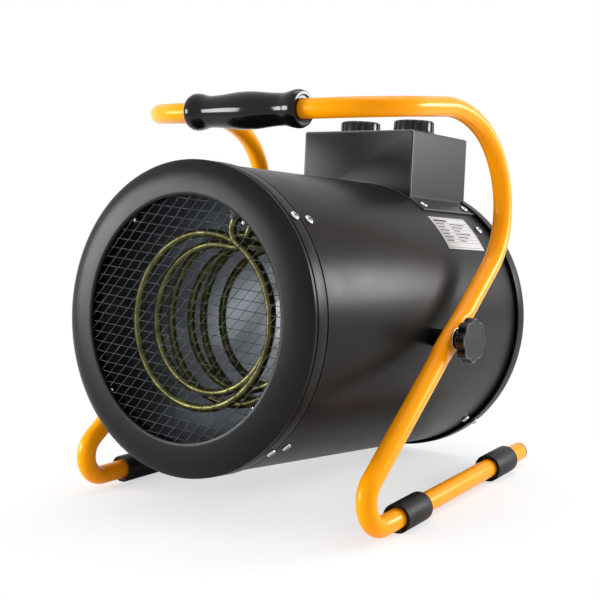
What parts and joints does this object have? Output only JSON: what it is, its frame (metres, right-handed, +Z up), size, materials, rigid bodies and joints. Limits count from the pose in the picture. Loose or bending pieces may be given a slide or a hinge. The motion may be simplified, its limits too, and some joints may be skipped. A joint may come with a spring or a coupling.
{
  "type": "forced air heater",
  "caption": "Round forced air heater: a sheet drum with wire mesh, wound elements and fan, tilting on a bent-tube stand with a grip, under a control box.",
  "frame": {"origin": "on the floor, under the middle of the whole object", "axes": "+Z up, hot air leaves towards -Y, +X is the user's right when facing the outlet from the front"},
  "size_m": [0.3946, 0.4572, 0.4169],
  "materials": {
    "orange_tube": "smooth gloss enamel on a bent steel tube",
    "black_drum": "satin black powder coat on rolled sheet",
    "box_cover": "fine dark grey powder coat on folded sheet",
    "grip": "gloss black moulding",
    "rubber": "matt black rubber",
    "knob": "satin black moulding with a flat grey face",
    "zinc": "bright zinc plate",
    "galvanised": "galvanised sheet, dull bluish grey",
    "mesh": "dark grey steel wire",
    "sheath": "heat-tinted olive metal sheath",
    "alloy": "cast alloy, satin",
    "motor": "grey painted motor shell",
    "insulator": "cream moulded insulator",
    "bush": "black moulded spacer"
  },
  "bodies": {
    "stand": {"stand_frame": "orange_tube", "handle_grip": "grip", "foot_sleeve_front_right": "rubber", "foot_sleeve_rear_right": "rubber", "foot_sleeve_front_left": "rubber", "foot_sleeve_rear_left": "rubber", "tube_end_cap_right": "rubber", "tube_end_cap_left": "rubber"},
    "heater": {"outer_casing": "black_drum", "front_ring": "black_drum", "rear_ring": "black_drum", "front_grille": "mesh", "rear_grille": "mesh", "inner_tube": "galvanised", "element_plate": "galvanised", "heating_element_1": "sheath", "heating_element_2": "sheath", "heating_element_3": "sheath", "element_nut_1": "zinc", "element_nut_2": "zinc", "element_nut_3": "zinc", "element_nut_4": "zinc", "element_nut_5": "zinc", "element_nut_6": "zinc", "shield_bracket_1": "galvanised", "shield_bracket_2": "galvanised", "shield_bracket_3": "galvanised", "shield_bracket_4": "galvanised", "fan_shroud": "galvanised", "fan_motor": "motor", "motor_bracket": "galvanised", "control_box": "box_cover", "rotary_switch": "insulator", "thermostat": "insulator", "terminal_block": "insulator", "contactor": "insulator", "cable_gland": "knob", "gland_nut": "knob", "thermal_cutout": "knob", "pivot_bush_right": "bush", "pivot_bush_left": "bush", "clamp_washer_right": "zinc", "clamp_washer_left": "zinc", "nut_plate_right": "zinc", "nut_plate_left": "zinc"},
    "fan": {"fan_impeller": "alloy", "motor_shaft": "zinc"},
    "switch_control": {"switch_knob": "knob", "switch_spindle": "zinc"},
    "thermostat_control": {"thermostat_knob": "knob", "thermostat_spindle": "zinc"},
    "clamp_right": {"clamp_knob_right": "knob", "clamp_stud_right": "zinc"},
    "clamp_left": {"clamp_knob_left": "knob", "clamp_stud_left": "zinc"}
  },
  "joints": [
    {"name": "heater_tilt", "type": "hinge", "parent": "stand", "child": "heater", "pos_m": [0, -0.0022, 0.168], "axis": [1, 0, 0], "range_deg": [-0.8, 13.5]},
    {"name": "fan_spin", "type": "hinge", "parent": "heater", "child": "fan", "pos_m": [0, 0.05374, 0.1732], "axis": [0, 0.9936, -0.1132], "continuous": true},
    {"name": "switch_turn", "type": "hinge", "parent": "heater", "child": "switch_control", "pos_m": [-0.036, 0.15353, 0.37319], "axis": [0, 0.1132, 0.9936], "range_deg": [-135, 0]},
    {"name": "thermostat_turn", "type": "hinge", "parent": "heater", "child": "thermostat_control", "pos_m": [0.036, 0.15353, 0.37319], "axis": [0, 0.1132, 0.9936], "range_deg": [-270, 0]},
    {"name": "clamp_turn_right", "type": "hinge", "parent": "heater", "child": "clamp_right", "pos_m": [0.18, -0.0022, 0.168], "axis": [1, 0, 0], "range_deg": [0, 720]},
    {"name": "clamp_turn_left", "type": "hinge", "parent": "heater", "child": "clamp_left", "pos_m": [-0.18, -0.0022, 0.168], "axis": [-1, 0, 0], "range_deg": [0, 720]}
  ]
}
